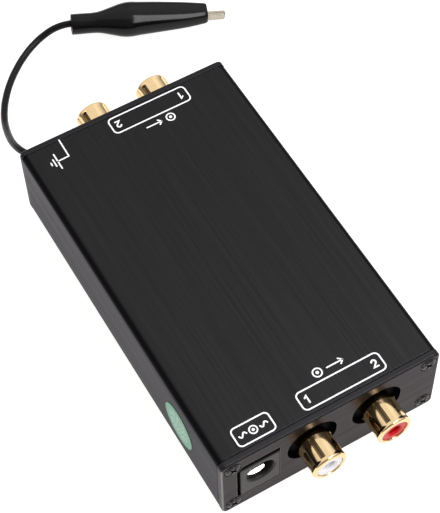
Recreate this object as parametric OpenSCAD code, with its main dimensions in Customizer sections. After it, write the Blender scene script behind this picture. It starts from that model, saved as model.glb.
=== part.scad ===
// Phono preamp: an aluminium box with two end plates, four phono sockets, a
// power socket, the amplifier board inside, and a ground lead that ends in an
// insulated crocodile clip. Millimetres. The box stands on its feet at z = 0,
// the output end faces -Y and the input end faces +Y.

/* [Case] */
// Width of the box
case_w = 60; // [58:0.5:70]
// Length of the box over both end plates
case_l = 103.8; // [100:0.1:130]
// Height of the box without its feet
case_h = 24.3; // [24:0.1:32]
// Wall of the extruded sleeve
wall = 1.5; // [1.2:0.1:2]
// Radius of the sleeve's long edges
edge_r = 2; // [1:0.1:3]
// Thickness of each end plate
plate_t = 1.7; // [1.6:0.1:3]
// Corner radius of the end plates
plate_r = 1.6; // [1:0.1:3]
// Chamfer round the outer edge of the end plates
edge_break = 0.35; // [0.1:0.05:0.6]
// Height of the stick-on feet
foot_h = 1; // [0.8:0.1:4]

/* [Sockets] */
// Place of the left phono socket across the box
jack_left_x = -5.3; // [-6:0.1:-4]
// Place of the right phono socket across the box
jack_right_x = 12.7; // [11:0.1:14]
// Height of the phono sockets above the underside
jack_z = 14.3; // [14:0.1:15]
// Diameter of the gold barrel that a plug grips
barrel_d = 8.6; // [8:0.05:8.8]
// How far each barrel stands out of its plate
barrel_out = 8.2; // [7:0.1:10]
// Diameter of the hole in the plate round each barrel
jack_hole_d = 13.8; // [12:0.1:14]
// Place of the power socket across the box
power_x = -19.4; // [-20:0.1:-19]
// Height of the power socket above the underside
power_z = 12.6; // [12:0.1:13]
// Diameter of the power socket's mouth
power_hole_d = 7.4; // [6:0.1:8]

/* [Ground lead] */
// Diameter of the ground wire over its insulation
wire_d = 2; // [1.6:0.1:2.4]
// Length of the clip's plastic boot
boot_l = 39.5; // [38:0.5:41]
// How far the metal jaws reach past the boot
jaw_out = 5.2; // [4:0.1:7]
// Heading of the clip on the table
clip_heading = -20.9; // [-30:0.1:-10]

/* [Hidden] */
$fn = 64;

anodised = "#26262a";
gold = "#d9b15a";
nickel = "#cfc8ba";
black_plastic = "#161618";

// Case, measured from the middle of the box and from the table
half_w = case_w / 2;
half_l = case_l / 2;
base_z = foot_h;
top_z = foot_h + case_h;
sleeve_l = case_l - 2 * plate_t;
seam = 0.15;                    // dark line left between sleeve and plate
screw_inset = 3.1;
screw_x = half_w - screw_inset;
screw_head_d = 4.2;
screw_shank_d = 2;
screw_l = 9;
port_r = 1.9;                   // round port that a plate screw bites into
port_hole_d = 2.2;

// Board and the rails that hold it
board_t = 1.6;
board_z = base_z + 5.2;         // underside of the board
board_top = board_z + board_t;
rail_h = 1.2;
rail_depth = 1.8;
rail_gap = 0.15;
board_w = case_w - 2 * wall - 0.8;
board_l = sleeve_l - 1;

// Phono sockets, in a frame with the plate's outer face at y = 0, outwards -y
barrel_r = barrel_d / 2;
barrel_bore_r = 3.5;
barrel_root_r = barrel_r - 0.25; // slimmer root behind the plate's face
barrel_in = 3;                  // length of barrel held inside its housing
groove_w = 0.9;
groove_depth = 0.45;
groove_count = 6;
groove_turn = 6.5;
groove_from = 0.9;              // clear collar at the plate
groove_to = 7;                  // clear collar at the mouth
rim_chamfer = 0.55;
rim_length = 0.8;
insert_recess = 0.35;
pin_hole_r = 1.65;
pin_hole_l = 7;
housing_r = 7.4;
housing_gap = 0.3;              // between the plate's back and the housing
housing_l = 11.7;
contact_r = 2.3;
contact_bore_r = 1.9;
contact_l = 7;
contact_tail_w = 0.8;
contact_from = barrel_out - insert_recess - pin_hole_l - 0.05;
contact_tail_y = contact_l - contact_from;

// Power socket
socket_w = 10.6;
socket_h = 13.4;
socket_l = 14.4;
socket_gap_side = 0.95;
socket_gap_top = 1.1;
socket_gap_corner = [1.6, 0.5]; // corners of the cut-out that clear the two screws
socket_hole_l = 10;
socket_pin_r = 1.05;
socket_pin_back = 4.6;          // the pin's tip, behind the plate's face
leaf_w = 4.6;                   // width of the sprung contact
socket_x0 = power_x - 5.5;      // left side of the body
socket_z0 = base_z + power_z - 7.3;

// Ground lead
ground_x = -25.2;
ground_z = 13;
wire_r = wire_d / 2;
wire_sides = 8;
ground_route = [
    [-25.2, 53.1, 13], [-25.2, 56, 13], [-25.6, 59.5, 12.5], [-26.3, 62.8, 11.3],
    [-26.4, 66.8, 9.2], [-25.8, 71.4, 6.5], [-24.8, 76, 4.1], [-23.5, 80.4, 2.3],
    [-21.6, 84.7, 1.4], [-19.2, 88.6, 1.05], [-16.2, 92.3, 1.05], [-12.3, 96.1, 1.05],
    [-8.1, 99.3, 1.1], [-4, 101.4, 1.5], [0, 102, 2.8], [3.6, 101, 4.8],
    [7.4, 99.5, 5.66], [10.2, 98.43, 5.4]
];
inner_route = [
    [-25.2, 53.1, 13], [-25.2, 48, 13], [-25, 45, 11.8], [-24.6, 43.4, 9.6], [-24.6, 43.2, 5.6]
];

// Clip, in its own frame: x from the wire end to the jaws, y across, z up
clip_pos = [7.4, 99.5, 5.66];
clip_dip = 4.94;
pivot = [21, -0.3];
sheet = 0.45;
crimp_from = 3.05;
jaw_tip = boot_l + jaw_out;

// ---------- helpers ----------

// Rectangle with four round corners, standing on its lower edge
module round_rect(w, h, r) {
    translate([-w / 2 + r, 0]) square([w - 2 * r, h]);
    translate([-w / 2, r]) square([w, h - 2 * r]);
    for (x = [-1, 1], z = [r, h - r])
        translate([x * (w / 2 - r), z]) circle(r);
}

// Extrudes an outline in X and Z along +Y from y0
module along_y(y0, length) {
    translate([0, y0 + length, 0]) rotate([90, 0, 0]) linear_extrude(length) children();
}

// Puts children at the output end, or turned round at the input end
module at_end(rear, x = 0) {
    rotate([0, 0, rear ? 180 : 0])
        translate([rear ? -x : x, -half_l, base_z + jack_z])
            children();
}

module at_screws() {
    for (x = [-1, 1], z = [screw_inset, case_h - screw_inset])
        translate([x * screw_x, 0, base_z + z]) children();
}

// A unit direction, and the direction of a route at point i
function unit(v) = v / norm(v);
function heading(route, i) = unit(route[min(i + 1, len(route) - 1)] - route[max(i - 1, 0)]);

// One ring of a tube round point i of a route
function tube_ring(route, i, r, sides) =
    let (
        t = heading(route, i),
        side = unit(cross(t, [0, 0, 1])),
        up = cross(side, t)
    )
    [for (k = [0 : sides - 1])
        let (a = (k + 0.5) * 360 / sides)
        route[i] + r * (cos(a) * side + sin(a) * up)];

// Solid skin over a list of rings with the same number of points
module skin(rings) {
    n = len(rings[0]);
    m = len(rings);
    polyhedron(
        points = [for (ring = rings) each ring],
        faces = concat(
            [[for (k = [0 : n - 1]) k]],
            [for (i = [0 : m - 2], k = [0 : n - 1])
                let (j = (k + 1) % n)
                [i * n + k, (i + 1) * n + k, (i + 1) * n + j, i * n + j]],
            [[for (k = [n - 1 : -1 : 0]) (m - 1) * n + k]]
        )
    );
}

// Closed skin whose last ring joins its first, for a hollow sleeve
module hollow_skin(rings) {
    n = len(rings[0]);
    m = len(rings);
    polyhedron(
        points = [for (ring = rings) each ring],
        faces = [for (i = [0 : m - 1], k = [0 : n - 1])
            let (j = (k + 1) % n, i2 = (i + 1) % m)
            [i * n + k, i2 * n + k, i2 * n + j, i * n + j]]
    );
}

module tube(route, r, sides) {
    skin([for (i = [0 : len(route) - 1]) tube_ring(route, i, r, sides)]);
}

// ---------- case ----------

// Section of the sleeve: a box with board rails and four screw ports
module sleeve_section() {
    inner_w = case_w - 2 * wall;
    inner_h = case_h - 2 * wall;
    rail_z = board_z - base_z;
    difference() {
        union() {
            difference() {
                round_rect(case_w, case_h, edge_r);
                translate([0, wall]) round_rect(inner_w, inner_h, 0.6);
            }
            intersection() {
                round_rect(case_w, case_h, edge_r);
                for (x = [-1, 1], z = [screw_inset, case_h - screw_inset])
                    translate([x * screw_x, z]) circle(port_r);
            }
            for (x = [-1, 1], z = [rail_z - rail_gap - rail_h, rail_z + board_t + rail_gap])
                translate([x * (inner_w / 2 - rail_depth / 2 + 0.1), z + rail_h / 2])
                    square([rail_depth + 0.2, rail_h], center = true);
        }
        for (x = [-1, 1], z = [screw_inset, case_h - screw_inset])
            translate([x * screw_x, z]) circle(d = port_hole_d);
    }
}

module case_sleeve() {
    color(anodised)
        translate([0, 0, base_z])
            along_y(-sleeve_l / 2 + seam, sleeve_l - 2 * seam) sleeve_section();
}

// Outline across a plate whose two outer edges are broken
function broken_edges(half) = [
    [-half + edge_break, 0], [half - edge_break, 0], [half, edge_break],
    [half, plate_t], [-half, plate_t], [-half, edge_break]
];

// Bare plate with round corners, its outer face at y = 0
module plate_slab() {
    translate([0, 0, plate_r])
        linear_extrude(case_h - 2 * plate_r) polygon(broken_edges(half_w));
    translate([half_w - plate_r, 0, case_h / 2]) rotate([0, -90, 0])
        linear_extrude(case_w - 2 * plate_r) polygon(broken_edges(case_h / 2));
    for (x = [-1, 1], z = [plate_r, case_h - plate_r])
        translate([x * (half_w - plate_r), 0, z]) rotate([-90, 0, 0]) rotate_extrude()
            polygon([
                [0, 0], [plate_r - edge_break, 0], [plate_r, edge_break],
                [plate_r, plate_t], [0, plate_t]
            ]);
}

// Output end's plate with its screw holes, less its children
module plate_blank() {
    difference() {
        translate([0, -half_l, base_z]) plate_slab();
        at_screws() screw_cut();
        children();
    }
}

// Clearance hole and countersink for one plate screw, with a shallow step round the head
module screw_cut() {
    translate([0, -half_l, 0]) rotate([-90, 0, 0]) {
        translate([0, 0, -1]) cylinder(d = screw_shank_d + 0.3, h = plate_t + 2);
        cylinder(d1 = screw_head_d + 0.1, d2 = screw_shank_d + 0.3, h = 1.2);
        translate([0, 0, -1]) cylinder(d = screw_head_d + 0.5, h = 1.3);
    }
}

module jack_cut() {
    rotate([-90, 0, 0]) translate([0, 0, -1]) cylinder(d = jack_hole_d, h = plate_t + 2);
}

// Opening round the power socket, wider than the socket on two sides
module power_cut() {
    left = socket_x0 - socket_gap_side;
    right = socket_x0 + socket_w + 0.15;
    bottom = socket_z0 - 0.15;
    top = socket_z0 + socket_h + socket_gap_top;
    upper = socket_gap_corner[0];
    lower = socket_gap_corner[1];
    along_y(-half_l - 1, plate_t + 2) polygon([
        [left + lower, bottom], [right, bottom], [right, top],
        [left + upper, top], [left, top - upper], [left, bottom + lower]
    ]);
}

module front_plate() {
    color(anodised) plate_blank() {
        for (x = [jack_left_x, jack_right_x]) at_end(false, x) jack_cut();
        power_cut();
    }
}

module rear_plate() {
    color(anodised) rotate([0, 0, 180]) plate_blank() {
        for (x = [jack_left_x, jack_right_x]) translate([-x, -half_l, base_z + jack_z]) jack_cut();
        translate([-ground_x, -half_l - 1, ground_z])
            rotate([-90, 0, 0]) cylinder(d = 4, h = plate_t + 2);
    }
}

// Raised countersunk cross-head screws, one at each corner of a plate
module plate_screws() {
    head_h = 1.1;
    crown_h = 0.4;
    slot_w = 0.6;
    slot_l = 2.4;
    at_screws() translate([0, -half_l, 0]) rotate([-90, 0, 0])
        difference() {
            union() {
                translate([0, 0, -crown_h])
                    cylinder(d1 = screw_head_d - 1.4, d2 = screw_head_d, h = crown_h);
                cylinder(d1 = screw_head_d, d2 = screw_shank_d, h = head_h);
                cylinder(d = screw_shank_d, h = screw_l);
            }
            for (a = [45, 135]) rotate([0, 0, a])
                translate([-slot_l / 2, -slot_w / 2, -1]) cube([slot_l, slot_w, 1.7]);
        }
}

module front_plate_screws() {
    color("#1b1b1d") plate_screws();
}

module rear_plate_screws() {
    color("#1b1b1d") rotate([0, 0, 180]) plate_screws();
}

// Four round stick-on feet with a small chamfer
module rubber_feet() {
    foot_r = 4;
    inset = [7, 8];
    color("#101010") for (x = [-1, 1], y = [-1, 1])
        translate([x * (half_w - inset[0]), y * (half_l - inset[1]), 0])
            rotate_extrude()
                polygon([[0, 0], [foot_r - 0.4, 0], [foot_r, 0.4], [foot_r, foot_h], [0, foot_h]]);
}

// Plain round sticker on the left side, near the output end
module side_sticker() {
    sticker_r = 6.4;
    sticker_t = 0.1;
    color("#6fc39b") translate([-half_w - sticker_t, 20.6 - half_l, base_z + 11.4])
        rotate([0, 90, 0]) cylinder(r = sticker_r, h = sticker_t);
}

// ---------- board ----------

// Fibreglass board with a hole for every leg that goes through it
module circuit_board() {
    clearance = 0.1;
    color("#1f5a3a") difference() {
        translate([-board_w / 2, -board_l / 2, board_z]) cube([board_w, board_l, board_t]);
        at_board(chip_places) dip_legs(dip_leg_r + clearance);
        at_board(electrolytic_places) leg_pair(1.25, [1, 0], can_leg_r + clearance);
        at_board(coupling_places) leg_pair(2.5, [0, 1], film_leg_r + clearance);
        at_board(resistor_places) leg_pair(resistor_span / 2, [0, 1], axial_leg_r + clearance);
        at_board(diode_places) leg_pair(diode_span / 2, [0, 1], axial_leg_r + clearance);
        at_board(regulator_places) {
            leg_pair(1.27, [1, 0], regulator_leg_r + clearance);
            leg(regulator_leg_r + clearance);
        }
        for (rear = [false, true], x = [jack_left_x, jack_right_x])
            at_end(rear, x) translate([0, contact_tail_y - contact_tail_w / 2, board_top - base_z - jack_z])
                leg(contact_tail_w);
        translate([inner_route[len(inner_route) - 1][0], inner_route[len(inner_route) - 1][1], board_top])
            leg(wire_r + clearance);
    }
}

chip_places = [[-4, -6], [14, -6]];
electrolytic_places = [[-19, -18], [-19, -6], [-19, 6], [-19, 18]];
coupling_places = [[-3, 14], [5, 14], [13, 14], [21, 14]];
resistor_places = [for (i = [0 : 5]) [-4 + i * 4.6, 6]];
diode_places = [for (i = [0 : 3]) [-8 + i * 3.5, -22]];
regulator_places = [[-8, -30], [20, -24]];
leg_out = 1;                    // how far legs stand out under the board
dip_leg_r = 0.25;
can_leg_r = 0.3;
film_leg_r = 0.3;
axial_leg_r = 0.28;
regulator_leg_r = 0.25;
resistor_span = 5.6;
diode_span = 6.2;

module at_board(places) {
    for (p = places) translate([p[0], p[1], board_top]) children();
}

// One round leg through the board, and two of them about a middle
module leg(r) {
    translate([0, 0, -board_t - leg_out]) cylinder(r = r, h = board_t + leg_out + 0.5);
}

module leg_pair(half_span, along, r) {
    for (s = [-1, 1]) translate([s * half_span * along[0], s * half_span * along[1], 0]) leg(r);
}

// Two rows of four legs on a standard eight-leg chip
module dip_legs(r) {
    for (i = [0 : 3], s = [-1, 1])
        translate([s * 3.81, (i - 1.5) * 2.54, 0]) leg(r);
}

module chip_sockets() {
    color("#1a1a1c") at_board(chip_places) {
        difference() {
            translate([-5, -5, 0.3]) cube([10, 10, 3.4]);
            translate([-2.6, -3.8, -1]) cube([5.2, 7.6, 6]);
            translate([0, 5, 0]) cylinder(r = 1, h = 5);
        }
        dip_legs(dip_leg_r);
    }
}

module amplifier_chips() {
    color("#202022") at_board(chip_places) translate([0, 0, 3.7]) {
        difference() {
            translate([-3.2, -4.7, 0.5]) cube([6.4, 9.4, 3.3]);
            translate([0, 4.7, 3.3]) cylinder(r = 0.8, h = 1);
        }
        for (i = [0 : 3], s = [-1, 1])
            translate([s * 3.5 - 0.3, (i - 1.5) * 2.54 - 0.5, 0]) cube([0.6, 1, 1.6]);
    }
}

// One round can with its sleeve bead and vent cross, and two legs
module electrolytic(r, h) {
    difference() {
        rotate_extrude() polygon([
            [0, 0.3], [r - 0.3, 0.3], [r, 0.6], [r, 1.6], [r - 0.35, 2], [r, 2.4],
            [r, h - 0.5], [r - 0.5, h], [0, h]
        ]);
        for (a = [0, 90]) rotate([0, 0, a])
            translate([-r * 0.6, -0.15, h - 0.3]) cube([r * 1.2, 0.3, 1]);
    }
    leg_pair(1.25, [1, 0], can_leg_r);
}

module filter_capacitors() {
    color("#1c2540") at_board(electrolytic_places) electrolytic(4, 12);
}

module coupling_capacitors() {
    color("#a33a2c") at_board(coupling_places) {
        translate([-1.75, -3.6, 0.3]) cube([3.5, 7.2, 7.5]);
        leg_pair(2.5, [0, 1], film_leg_r);
    }
}

// Lies across the board: a waisted body on a wire that bends down at each end
module axial_part(r, length, span) {
    lift = r + 0.3;
    translate([0, length / 2, lift]) rotate([90, 0, 0]) rotate_extrude()
        polygon([
            [0, 0], [r, 0], [r, length * 0.25], [r * 0.85, length * 0.32],
            [r * 0.85, length * 0.68], [r, length * 0.75], [r, length], [0, length]
        ]);
    translate([0, span / 2, lift]) rotate([90, 0, 0]) cylinder(r = axial_leg_r, h = span);
    leg_pair(span / 2, [0, 1], axial_leg_r);
    for (s = [-1, 1]) translate([0, s * span / 2, 0])
        cylinder(r = axial_leg_r, h = lift + axial_leg_r);
}

module resistors() {
    color("#3f7fae") at_board(resistor_places) axial_part(1.1, 4.2, resistor_span);
}

module rectifier_diodes() {
    color("#2a2a2c") at_board(diode_places) axial_part(1.2, 4.4, diode_span);
}

module voltage_regulators() {
    color("#222224") at_board(regulator_places) {
        intersection() {
            translate([0, 0, 3]) cylinder(r = 2.4, h = 4.6);
            translate([-2.4, -1.2, 3]) cube([4.8, 3.7, 4.6]);
        }
        for (s = [-1, 0, 1]) translate([s * 1.27, 0, 0]) {
            leg(regulator_leg_r);
            cylinder(r = regulator_leg_r, h = 3.5);
        }
    }
}

// ---------- phono sockets ----------

// Gold barrel: a tube with a chamfered mouth and six long grooves
module barrel() {
    r_in = barrel_bore_r;
    back = plate_t + housing_gap + barrel_in;
    color(gold) rotate([90, 0, 0]) rotate([0, 0, groove_turn]) difference() {
        rotate_extrude() polygon([
            [r_in, -back], [barrel_root_r, -back], [barrel_root_r, 0], [barrel_r, 0],
            [barrel_r, barrel_out - rim_length],
            [barrel_r - rim_chamfer, barrel_out], [r_in + 0.15, barrel_out],
            [r_in, barrel_out - 0.2]
        ]);
        for (k = [0 : groove_count - 1])
            rotate([0, 0, (k + 1 / 8) * 360 / groove_count])
                translate([-groove_w / 2, barrel_r - groove_depth, groove_from])
                    cube([groove_w, 2, groove_to - groove_from]);
    }
}

// Coloured core with the hole for the plug's pin
module insert(tint) {
    r = barrel_bore_r - 0.05;
    mouth = barrel_out - insert_recess;
    back = plate_t + housing_gap + barrel_in;
    color(tint) rotate([90, 0, 0]) difference() {
        translate([0, 0, -back]) cylinder(r = r, h = mouth + back);
        translate([0, 0, mouth - pin_hole_l]) cylinder(r = pin_hole_r, h = pin_hole_l + 1);
        translate([0, 0, mouth - 0.4]) cylinder(r1 = pin_hole_r, r2 = pin_hole_r + 0.5, h = 0.5);
        translate([0, 0, -back - 1]) cylinder(r = contact_r + 0.05, h = back + 1 + mouth - pin_hole_l);
    }
}

// Sprung tube that grips the plug's pin, with its tail down to the board
module contact() {
    w = contact_tail_w;
    drop = base_z + jack_z - board_z + leg_out;
    color(gold) {
        rotate([90, 0, 0]) difference() {
            translate([0, 0, contact_from - contact_l]) cylinder(r = contact_r, h = contact_l);
            translate([0, 0, contact_from - contact_l + w]) cylinder(r = contact_bore_r, h = contact_l);
            for (a = [0, 90]) rotate([0, 0, a])
                translate([-0.2, -3, contact_from - 3]) cube([0.4, 6, 4]);
        }
        translate([-w / 2, contact_tail_y - w, -drop]) cube([w, w, drop]);
    }
}

// Moulded body behind the plate: round top, flat foot on the board
module housing() {
    foot_z = board_top - base_z - jack_z;
    y0 = plate_t + housing_gap;
    color(black_plastic) difference() {
        along_y(y0, housing_l) {
            circle(housing_r);
            translate([-housing_r, foot_z]) square([2 * housing_r, -foot_z]);
        }
        rotate([-90, 0, 0]) translate([0, 0, y0 - 1]) cylinder(r = barrel_root_r + 0.05, h = barrel_in + 1);
        rotate([-90, 0, 0]) cylinder(r = contact_r + 0.1, h = contact_tail_y + 0.2);
        translate([-0.6, contact_tail_y - 1, foot_z - 1]) cube([1.2, 1.2, -foot_z + 1]);
    }
}

module output_left_housing() { at_end(false, jack_left_x) housing(); }
module output_left_barrel() { at_end(false, jack_left_x) barrel(); }
module output_left_insert() { at_end(false, jack_left_x) insert("#efeff0"); }
module output_left_contact() { at_end(false, jack_left_x) contact(); }
module output_right_housing() { at_end(false, jack_right_x) housing(); }
module output_right_barrel() { at_end(false, jack_right_x) barrel(); }
module output_right_insert() { at_end(false, jack_right_x) insert("#c8202a"); }
module output_right_contact() { at_end(false, jack_right_x) contact(); }
module input_left_housing() { at_end(true, jack_left_x) housing(); }
module input_left_barrel() { at_end(true, jack_left_x) barrel(); }
module input_left_insert() { at_end(true, jack_left_x) insert("#c8202a"); }
module input_left_contact() { at_end(true, jack_left_x) contact(); }
module input_right_housing() { at_end(true, jack_right_x) housing(); }
module input_right_barrel() { at_end(true, jack_right_x) barrel(); }
module input_right_insert() { at_end(true, jack_right_x) insert("#efeff0"); }
module input_right_contact() { at_end(true, jack_right_x) contact(); }

// ---------- power socket ----------

module at_power() {
    translate([power_x, -half_l, base_z + power_z]) children();
}

module power_socket_body() {
    mouth_r = power_hole_d / 2;
    bevel = 0.45;
    color(black_plastic) difference() {
        translate([socket_x0, -half_l, socket_z0]) cube([socket_w, socket_l, socket_h]);
        at_power() rotate([-90, 0, 0]) {
            translate([0, 0, -1]) cylinder(r = mouth_r, h = socket_hole_l + 1);
            translate([0, 0, -0.01]) cylinder(r1 = mouth_r + bevel, r2 = mouth_r, h = bevel);
            cylinder(r = socket_pin_r + 0.02, h = socket_l + 1);
        }
        // Slot in the floor of the hole for the sprung contact
        translate([power_x - leaf_w / 2 - 0.2, -half_l + 1.6, socket_z0 + 1])
            cube([leaf_w + 0.4, 9, power_z + base_z - socket_z0 - mouth_r + 0.05]);
        // Legs' relief under the body
        translate([socket_x0 - 1, -half_l + plate_t + 0.4, socket_z0 - 1])
            cube([socket_w + 2, socket_l, board_top - socket_z0 + 1]);
    }
}

// Centre pin with a round tip
module power_socket_pin() {
    color(nickel) at_power() rotate([-90, 0, 0]) {
        translate([0, 0, socket_pin_back + socket_pin_r]) {
            cylinder(r = socket_pin_r, h = socket_l + 0.8 - socket_pin_back - socket_pin_r);
            intersection() {
                sphere(socket_pin_r);
                translate([0, 0, -2]) cylinder(r = 3, h = 2);
            }
        }
    }
}

// Sprung leaf that stands in its slot and bears on the plug's outer shell
module power_socket_contact() {
    floor_z = power_z + base_z - power_hole_d / 2;
    color(nickel) translate([power_x - leaf_w / 2, -half_l, floor_z])
        rotate([90, 0, 90]) linear_extrude(leaf_w) polygon([
            [1.7, -2.5], [2.05, -2.5], [2.05, -0.3], [2.6, 0.1], [5.4, 0.7], [9.6, -0.25],
            [9.6, 0.1], [5.5, 1.1], [5.3, 1.1], [2.5, 0.5], [1.7, -0.05]
        ]);
}

// ---------- ground lead ----------

// Rubber bush that the wire passes through in the rear plate
module ground_grommet() {
    bore_r = wire_r + 0.05;
    color("#141414") translate([ground_x, half_l, ground_z]) rotate([-90, 0, 0])
        rotate_extrude() polygon([
            [bore_r, -plate_t - 1.2], [2.6, -plate_t - 1.2], [2.9, -plate_t - 0.2],
            [1.95, -plate_t - 0.2], [1.95, 0.05], [2.9, 0.05], [2.7, 0.9],
            [2.2, 1.2], [bore_r, 1.2]
        ]);
}

module ground_wire() {
    color("#151516") tube(ground_route, wire_r, wire_sides);
}

module ground_wire_inner() {
    color("#151516") tube(inner_route, wire_r, wire_sides);
}

// ---------- clip ----------

module at_clip() {
    translate(clip_pos) rotate([0, clip_dip, clip_heading]) children();
}

// Boot stations: place along the clip, half width, half height, roundness, middle across
boot_stations = [
    [0, 2.8, 2.75, 2, -0.37], [0.3, 3, 2.95, 2, -0.37], [6.5, 3, 2.9, 2, -0.37],
    [8.5, 3.3, 3.05, 2, -0.33], [12, 4.3, 3.6, 2.2, -0.24], [14.5, 5, 4, 2.3, -0.16],
    [17, 5.27, 4.2, 2.3, -0.04], [20, 4.87, 3.94, 2.5, 0], [26, 4.33, 3.42, 2.8, 0],
    [33, 3.7, 2.82, 3, -0.06], [38.3, 2.95, 2.36, 3, 0], [39.1, 2.8, 2.24, 3, 0.04],
    [39.5, 2.6, 2.1, 3, 0.04]
];
boot_wall = 0.8;
boot_sides = 28;

// Superellipse ring across the clip
function oval(x, half_y, half_z, power, mid_y, sides) =
    [for (k = [0 : sides - 1])
        let (a = k * 360 / sides, c = cos(a), s = sin(a))
        [
            x,
            mid_y + half_y * sign(c) * pow(abs(c), 2 / power),
            half_z * sign(s) * pow(abs(s), 2 / power)
        ]];

function boot_ring(s, inset) =
    oval(s[0] * boot_l / 39.5, s[1] - inset, s[2] - inset, s[3], s[4], boot_sides);

// The wall thins towards the jaws
function boot_wall_at(s) = boot_wall - max(0, s[0] - 26) * 0.033;

module clip_boot() {
    last = len(boot_stations) - 1;
    color("#18181a") at_clip() hollow_skin(concat(
        [for (i = [0 : last]) boot_ring(boot_stations[i], 0)],
        [for (i = [last : -1 : 0]) boot_ring(boot_stations[i], boot_wall_at(boot_stations[i]))]
    ));
}

// Teeth along a jaw's gripping edge, from the tip backwards
function teeth(from, to, y, depth, pitch) =
    [for (i = [0 : floor((from - to) / pitch) - 1])
        each [[from - i * pitch, y], [from - (i + 0.5) * pitch, y + depth]]];

parting = -0.85;                // line where the jaws meet
jaw_gap = 0.05;
fixed_tip = 1.15;               // thickness of each closed jaw at the tip
moving_tip = 0.6;
teeth_from = jaw_tip - 0.6;
teeth_to = boot_l - 3;
tooth = 0.25;
tooth_pitch = 0.8;

// Keeps a jaw between its two tapering sides
module jaw_plan(root_half, inset = 0) {
    tip_half = 0.9 - inset;
    half = root_half - inset;
    rotate([90, 0, 0]) translate([0, 0, -8]) linear_extrude(16)
        polygon([
            [8, -1.3 + inset], [14, -half], [pivot[0] + 1.5, -half],
            [boot_l - 1, -tip_half - 0.1], [jaw_tip - 0.4, -tip_half], [jaw_tip, -tip_half * 0.75],
            [jaw_tip, tip_half * 0.75], [jaw_tip - 0.4, tip_half], [boot_l - 1, tip_half + 0.1],
            [pivot[0] + 1.5, half], [14, half], [8, 1.3 - inset]
        ]);
}

module rivet_hole() {
    translate([pivot[0], pivot[1], -5]) cylinder(r = 0.75, h = 10);
}

// Folded sheet jaw with the wire crimp, which stays with the wire
module clip_fixed_jaw() {
    root_half = 2.2;
    back = parting - fixed_tip;
    edge = parting - jaw_gap;
    outline = concat(
        [[8, -1.5], [12, -2.6], [15, -3.1], [pivot[0], -2.85], [boot_l, back], [jaw_tip - 0.3, back]],
        [[jaw_tip, back + 0.3], [jaw_tip, edge]],
        teeth(teeth_from, teeth_to, edge, -tooth, tooth_pitch),
        [[teeth_to - 0.6, edge], [pivot[0] + 3.4, edge], [pivot[0] + 1.5, 0.9]],
        [[pivot[0] - 1.5, 0.9], [pivot[0] - 3, -2], [12, -1.8], [8, 0.6]]
    );
    hollow = [
        [9, -1.2], [12, -2.15], [15, -2.65], [pivot[0], -2.4],
        [boot_l - 1, back + sheet], [boot_l - 1, 6], [9, 6]
    ];
    color(nickel) at_clip() difference() {
        union() {
            difference() {
                intersection() {
                    translate([0, 0, -4]) linear_extrude(8) polygon(outline);
                    jaw_plan(root_half);
                }
                intersection() {
                    translate([0, 0, -4]) linear_extrude(8) polygon(hollow);
                    jaw_plan(root_half, sheet);
                }
            }
            translate([crimp_from, 0, 0]) rotate([0, 90, 0]) cylinder(r = 1.7, h = 5.6);
        }
        rivet_hole();
    }
}

// Folded sheet jaw that turns on the rivet, with its finger lever
module clip_moving_jaw() {
    root_half = 1.65;
    back = parting + moving_tip;
    edge = parting + jaw_gap;
    biting = teeth(teeth_from, teeth_to, edge, -tooth, tooth_pitch);
    outline = concat(
        [[jaw_tip, edge], [jaw_tip, back - 0.2], [jaw_tip - 0.2, back], [boot_l, back]],
        [[pivot[0], 2.5], [17, 2.9], [14, 3.15], [14, 2.65], [pivot[0] - 3, 1.8]],
        [[pivot[0] - 1.5, -1.4], [pivot[0] + 1.5, -1.4], [pivot[0] + 3.6, edge], [teeth_to - 0.6, edge]],
        [for (i = [len(biting) - 1 : -1 : 0]) biting[i]]
    );
    hollow = [
        [boot_l - 1, -6], [boot_l - 1, back - sheet], [pivot[0], 2.05], [17, 2.45],
        [13, 2.75], [13, -6]
    ];
    color(nickel) at_clip() difference() {
        intersection() {
            translate([0, 0, -4]) linear_extrude(8) polygon(outline);
            jaw_plan(root_half);
        }
        intersection() {
            translate([0, 0, -4]) linear_extrude(8) polygon(hollow);
            jaw_plan(root_half, sheet);
        }
        rivet_hole();
    }
}

module clip_rivet() {
    color(nickel) at_clip() translate([pivot[0], pivot[1], 0]) rotate_extrude() polygon([
        [0, -2.65], [1.1, -2.65], [1.25, -2.5], [1.25, -2.25], [0.7, -2.25],
        [0.7, 2.25], [1.25, 2.25], [1.25, 2.5], [1.1, 2.65], [0, 2.65]
    ]);
}

// Torsion spring round the rivet, one leg along each lever
module clip_spring() {
    coil_r = 1.1;
    spring_wire_r = 0.2;
    turns = 2.5;
    steps = 16;                 // points to a turn
    half_h = 0.6;
    fixed_leg = [14.5, -2.3, -half_h];
    moving_leg = [15, 2.3, half_h];
    coil = [for (i = [0 : turns * steps])
        let (a = -90 + i * 360 / steps)
        [
            pivot[0] + coil_r * cos(a),
            pivot[1] + coil_r * sin(a),
            -half_h + 2 * half_h * i / (turns * steps)
        ]];
    color("#8f8f92") at_clip()
        tube(concat([fixed_leg], coil, [moving_leg]), spring_wire_r, 8);
}

case_sleeve();
front_plate();
rear_plate();
front_plate_screws();
rear_plate_screws();
rubber_feet();
side_sticker();
circuit_board();
power_socket_body();
power_socket_pin();
power_socket_contact();
output_left_housing();
output_left_barrel();
output_left_insert();
output_left_contact();
output_right_housing();
output_right_barrel();
output_right_insert();
output_right_contact();
input_left_housing();
input_left_barrel();
input_left_insert();
input_left_contact();
input_right_housing();
input_right_barrel();
input_right_insert();
input_right_contact();
chip_sockets();
amplifier_chips();
filter_capacitors();
coupling_capacitors();
resistors();
voltage_regulators();
rectifier_diodes();
ground_grommet();
ground_wire();
ground_wire_inner();
clip_boot();
clip_fixed_jaw();
clip_moving_jaw();
clip_rivet();
clip_spring();
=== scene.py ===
"""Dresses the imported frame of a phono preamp: finishes, printed signs, ground lead, floor and light."""

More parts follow.
